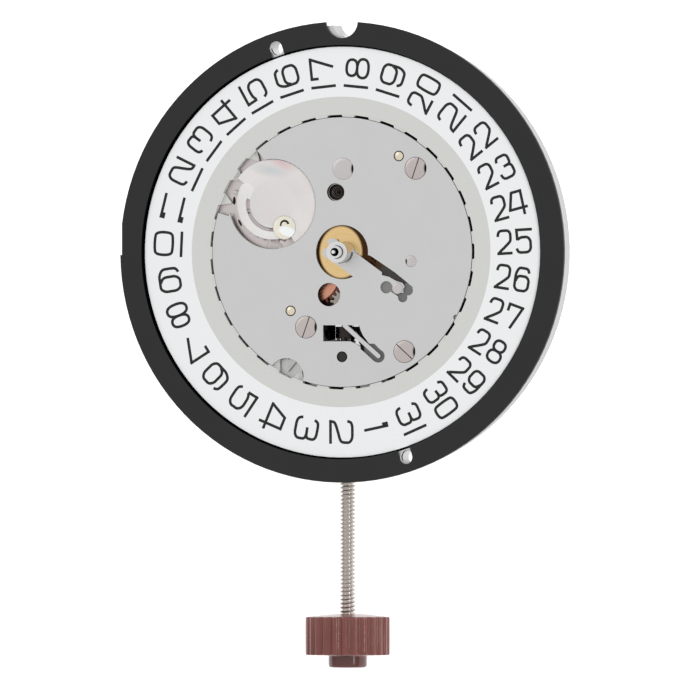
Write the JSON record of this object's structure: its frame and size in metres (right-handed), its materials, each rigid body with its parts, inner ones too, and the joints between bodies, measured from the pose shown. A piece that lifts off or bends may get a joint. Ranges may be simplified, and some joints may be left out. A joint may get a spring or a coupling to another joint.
{
  "type": "quartz watch movement",
  "caption": "Round quartz watch movement with a date ring, coaxial hand pipes on the dial side, a battery and coil on the back, and a setting stem with a fluted crown.",
  "frame": {"origin": "the hands' axis at the plane that the dial rests on, the top of the black dial ring", "axes": "+Z out of the dial side along the hands' axis, the stem and crown leave towards -Y, and +X is the twelve o'clock to six o'clock right-hand side as seen from the dial with the stem below"},
  "size_m": [0.026, 0.0364, 0.0054],
  "materials": {
    "black_plastic": "moulded black",
    "plated_brass": "satin nickel plated",
    "date_plate_nickel": "fine matt nickel plated",
    "screw_steel": "turned",
    "pale_brass": "turned",
    "spring_steel": "stamped",
    "white_print": "white print on plastic",
    "white_plastic": "moulded white",
    "cream_plastic": "moulded cream",
    "gear_brass": "turned and stamped",
    "copper_alloy": "copper coloured",
    "steel_arbor": "polished",
    "magnet": "sintered",
    "soft_iron": "annealed sheet",
    "copper_wire": "lacquered wire",
    "bobbin_plastic": "moulded",
    "circuit_laminate": "solder mask",
    "chip_epoxy": "cured resin",
    "crystal_can": "drawn can",
    "ruby": "polished",
    "battery_steel": "drawn steel",
    "insulator_film": "cut film",
    "contact_gold": "gold flashed",
    "cover_steel": "stamped",
    "stem_steel": "turned",
    "brown_plastic": "moulded reddish brown"
  },
  "bodies": {
    "movement": {"dial_ring": "black_plastic", "main_plate": "plated_brass", "date_plate": "date_plate_nickel", "date_plate_screws": "screw_steel", "locating_pins": "pale_brass", "plate_studs": "date_plate_nickel", "date_jumper": "spring_steel", "train_bridge": "plated_brass", "bridge_screws": "screw_steel", "jewels": "ruby", "rotor_bearing": "ruby", "stator": "soft_iron", "coil_core": "soft_iron", "coil_winding": "copper_wire", "coil_ends": "bobbin_plastic", "coil_screws": "screw_steel", "circuit_board": "circuit_laminate", "ic_chip": "chip_epoxy", "quartz_crystal": "crystal_can", "circuit_cover": "cover_steel", "cover_screws": "screw_steel", "battery": "battery_steel", "battery_insulator": "insulator_film", "battery_contact": "contact_gold", "lever_spring": "spring_steel"},
    "date_ring_body": {"date_ring": "white_print"},
    "minute_body": {"cannon_pinion": "steel_arbor"},
    "minute_wheel_body": {"minute_wheel": "copper_alloy"},
    "hour_body": {"hour_wheel": "gear_brass"},
    "setting_wheel_body": {"setting_wheel": "steel_arbor"},
    "date_idler_body": {"date_idler": "white_plastic"},
    "date_wheel_body": {"date_wheel": "white_plastic", "date_finger": "white_plastic", "date_wheel_post": "cream_plastic"},
    "rotor_body": {"rotor_magnet": "magnet", "rotor_pinion": "steel_arbor"},
    "intermediate_body": {"intermediate_wheel": "gear_brass"},
    "seconds_body": {"seconds_wheel": "gear_brass"},
    "third_body": {"third_wheel": "gear_brass"},
    "center_body": {"center_wheel": "gear_brass"},
    "corrector_pinion_body": {"corrector_pinion": "steel_arbor"},
    "corrector_wheel_body": {"corrector_wheel": "steel_arbor"},
    "stem_body": {"stem": "stem_steel", "crown": "brown_plastic"},
    "sliding_pinion_body": {"sliding_pinion": "steel_arbor"},
    "setting_lever_body": {"setting_lever": "spring_steel"},
    "yoke_body": {"yoke": "spring_steel"}
  },
  "joints": [
    {"name": "minute_turn", "type": "hinge", "parent": "movement", "child": "minute_body", "pos_m": [0, 0, 0], "axis": [0, 0, 1], "continuous": true},
    {"name": "minute_wheel_turn", "type": "hinge", "parent": "movement", "child": "minute_wheel_body", "pos_m": [-0.00189, -0.00127, 0], "axis": [0, 0, 1], "continuous": true},
    {"name": "hour_turn", "type": "hinge", "parent": "movement", "child": "hour_body", "pos_m": [0, 0, 0], "axis": [0, 0, 1], "continuous": true},
    {"name": "setting_wheel_turn", "type": "hinge", "parent": "movement", "child": "setting_wheel_body", "pos_m": [0, -0.00286, 0], "axis": [0, 0, 1], "continuous": true},
    {"name": "date_idler_turn", "type": "hinge", "parent": "movement", "child": "date_idler_body", "pos_m": [-0.00296, 0.0002, 0], "axis": [0, 0, 1], "continuous": true},
    {"name": "date_wheel_turn", "type": "hinge", "parent": "movement", "child": "date_wheel_body", "pos_m": [-0.00408, 0.00272, 0], "axis": [0, 0, 1], "continuous": true},
    {"name": "date_ring_turn", "type": "hinge", "parent": "movement", "child": "date_ring_body", "pos_m": [0, 0, 0], "axis": [0, 0, 1], "continuous": true, "deforming": ["date_jumper", "date_finger"]},
    {"name": "rotor_turn", "type": "hinge", "parent": "movement", "child": "rotor_body", "pos_m": [-0.00037, 0.00338, 0], "axis": [0, 0, 1], "continuous": true},
    {"name": "intermediate_turn", "type": "hinge", "parent": "movement", "child": "intermediate_body", "pos_m": [-0.00084, 0.00177, 0], "axis": [0, 0, 1], "continuous": true},
    {"name": "seconds_turn", "type": "hinge", "parent": "movement", "child": "seconds_body", "pos_m": [0, 0, 0], "axis": [0, 0, 1], "continuous": true},
    {"name": "third_wheel_turn", "type": "hinge", "parent": "movement", "child": "third_body", "pos_m": [0.00179, -0.00084, 0], "axis": [0, 0, 1], "continuous": true},
    {"name": "center_wheel_turn", "type": "hinge", "parent": "movement", "child": "center_body", "pos_m": [0, 0, 0], "axis": [0, 0, 1], "continuous": true},
    {"name": "crown_turn", "type": "hinge", "parent": "movement", "child": "corrector_pinion_body", "pos_m": [0, -0.0064, -0.00128], "axis": [0, -1, 0], "continuous": true},
    {"name": "corrector_wheel_turn", "type": "hinge", "parent": "movement", "child": "corrector_wheel_body", "pos_m": [0, -0.0059, 0], "axis": [0, 0, 1], "continuous": true},
    {"name": "stem_pull", "type": "slide", "parent": "corrector_pinion_body", "child": "stem_body", "axis": [0, -1, 0], "range_m": [0, 0.0009]},
    {"name": "clutch_shift", "type": "slide", "parent": "corrector_pinion_body", "child": "sliding_pinion_body", "axis": [0, 1, 0], "range_m": [0, 0.00045]},
    {"name": "setting_lever_swing", "type": "hinge", "parent": "movement", "child": "setting_lever_body", "pos_m": [0.0019, -0.00885, 0], "axis": [0, 0, 1], "range_deg": [0, 26.65]},
    {"name": "yoke_swing", "type": "hinge", "parent": "movement", "child": "yoke_body", "pos_m": [-0.0029, -0.0056, 0], "axis": [0, 0, 1], "range_deg": [0, 11.34]}
  ],
  "couplings": [
    {"joint": "minute_wheel_turn", "follows": "minute_turn", "ratio": -0.33333},
    {"joint": "hour_turn", "follows": "minute_turn", "ratio": 0.083333},
    {"joint": "setting_wheel_turn", "follows": "minute_turn", "ratio": 0.75},
    {"joint": "date_idler_turn", "follows": "minute_turn", "ratio": 0.11111},
    {"joint": "date_wheel_turn", "follows": "minute_turn", "ratio": -0.041667},
    {"joint": "intermediate_turn", "follows": "rotor_turn", "ratio": -0.2},
    {"joint": "seconds_turn", "follows": "rotor_turn", "ratio": 0.033333},
    {"joint": "third_wheel_turn", "follows": "rotor_turn", "ratio": -0.0044444},
    {"joint": "center_wheel_turn", "follows": "rotor_turn", "ratio": 0.00055556},
    {"joint": "corrector_wheel_turn", "follows": "crown_turn", "ratio": 0.6},
    {"joint": "clutch_shift", "follows": "stem_pull", "ratio": 0.5},
    {"joint": "setting_lever_swing", "follows": "stem_pull", "rad_per_m": 516.74},
    {"joint": "yoke_swing", "follows": "stem_pull", "rad_per_m": 219.95}
  ]
}
